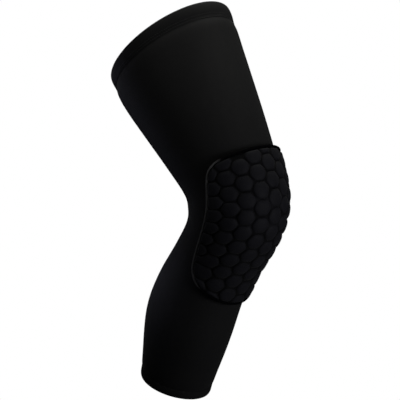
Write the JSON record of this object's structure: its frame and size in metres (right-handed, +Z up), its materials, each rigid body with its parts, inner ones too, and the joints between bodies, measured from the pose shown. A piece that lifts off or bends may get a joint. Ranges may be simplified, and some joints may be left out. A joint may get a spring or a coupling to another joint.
{
  "type": "basketball knee pad",
  "caption": "Long stretch leg sleeve, bent as it is worn, with a wide thigh hem, a narrow calf hem and a rimmed honeycomb pad over the kneecap.",
  "frame": {"origin": "middle of the knee, where the sleeve sits on the leg", "axes": "+Z up the thigh side, the kneecap faces -Y, +X across the leg"},
  "size_m": [0.1612, 0.2413, 0.489],
  "materials": {
    "stretch_cloth": "matt black knit",
    "hem_tape": "matt black tape",
    "pad_foam": "satin black cloth moulded over foam",
    "rim_tape": "matt black tape"
  },
  "bodies": {
    "root": {"sleeve": "stretch_cloth", "thigh_hem": "hem_tape", "calf_hem": "hem_tape", "hex_pad": "pad_foam", "pad_rim": "rim_tape"}
  },
  "joints": []
}
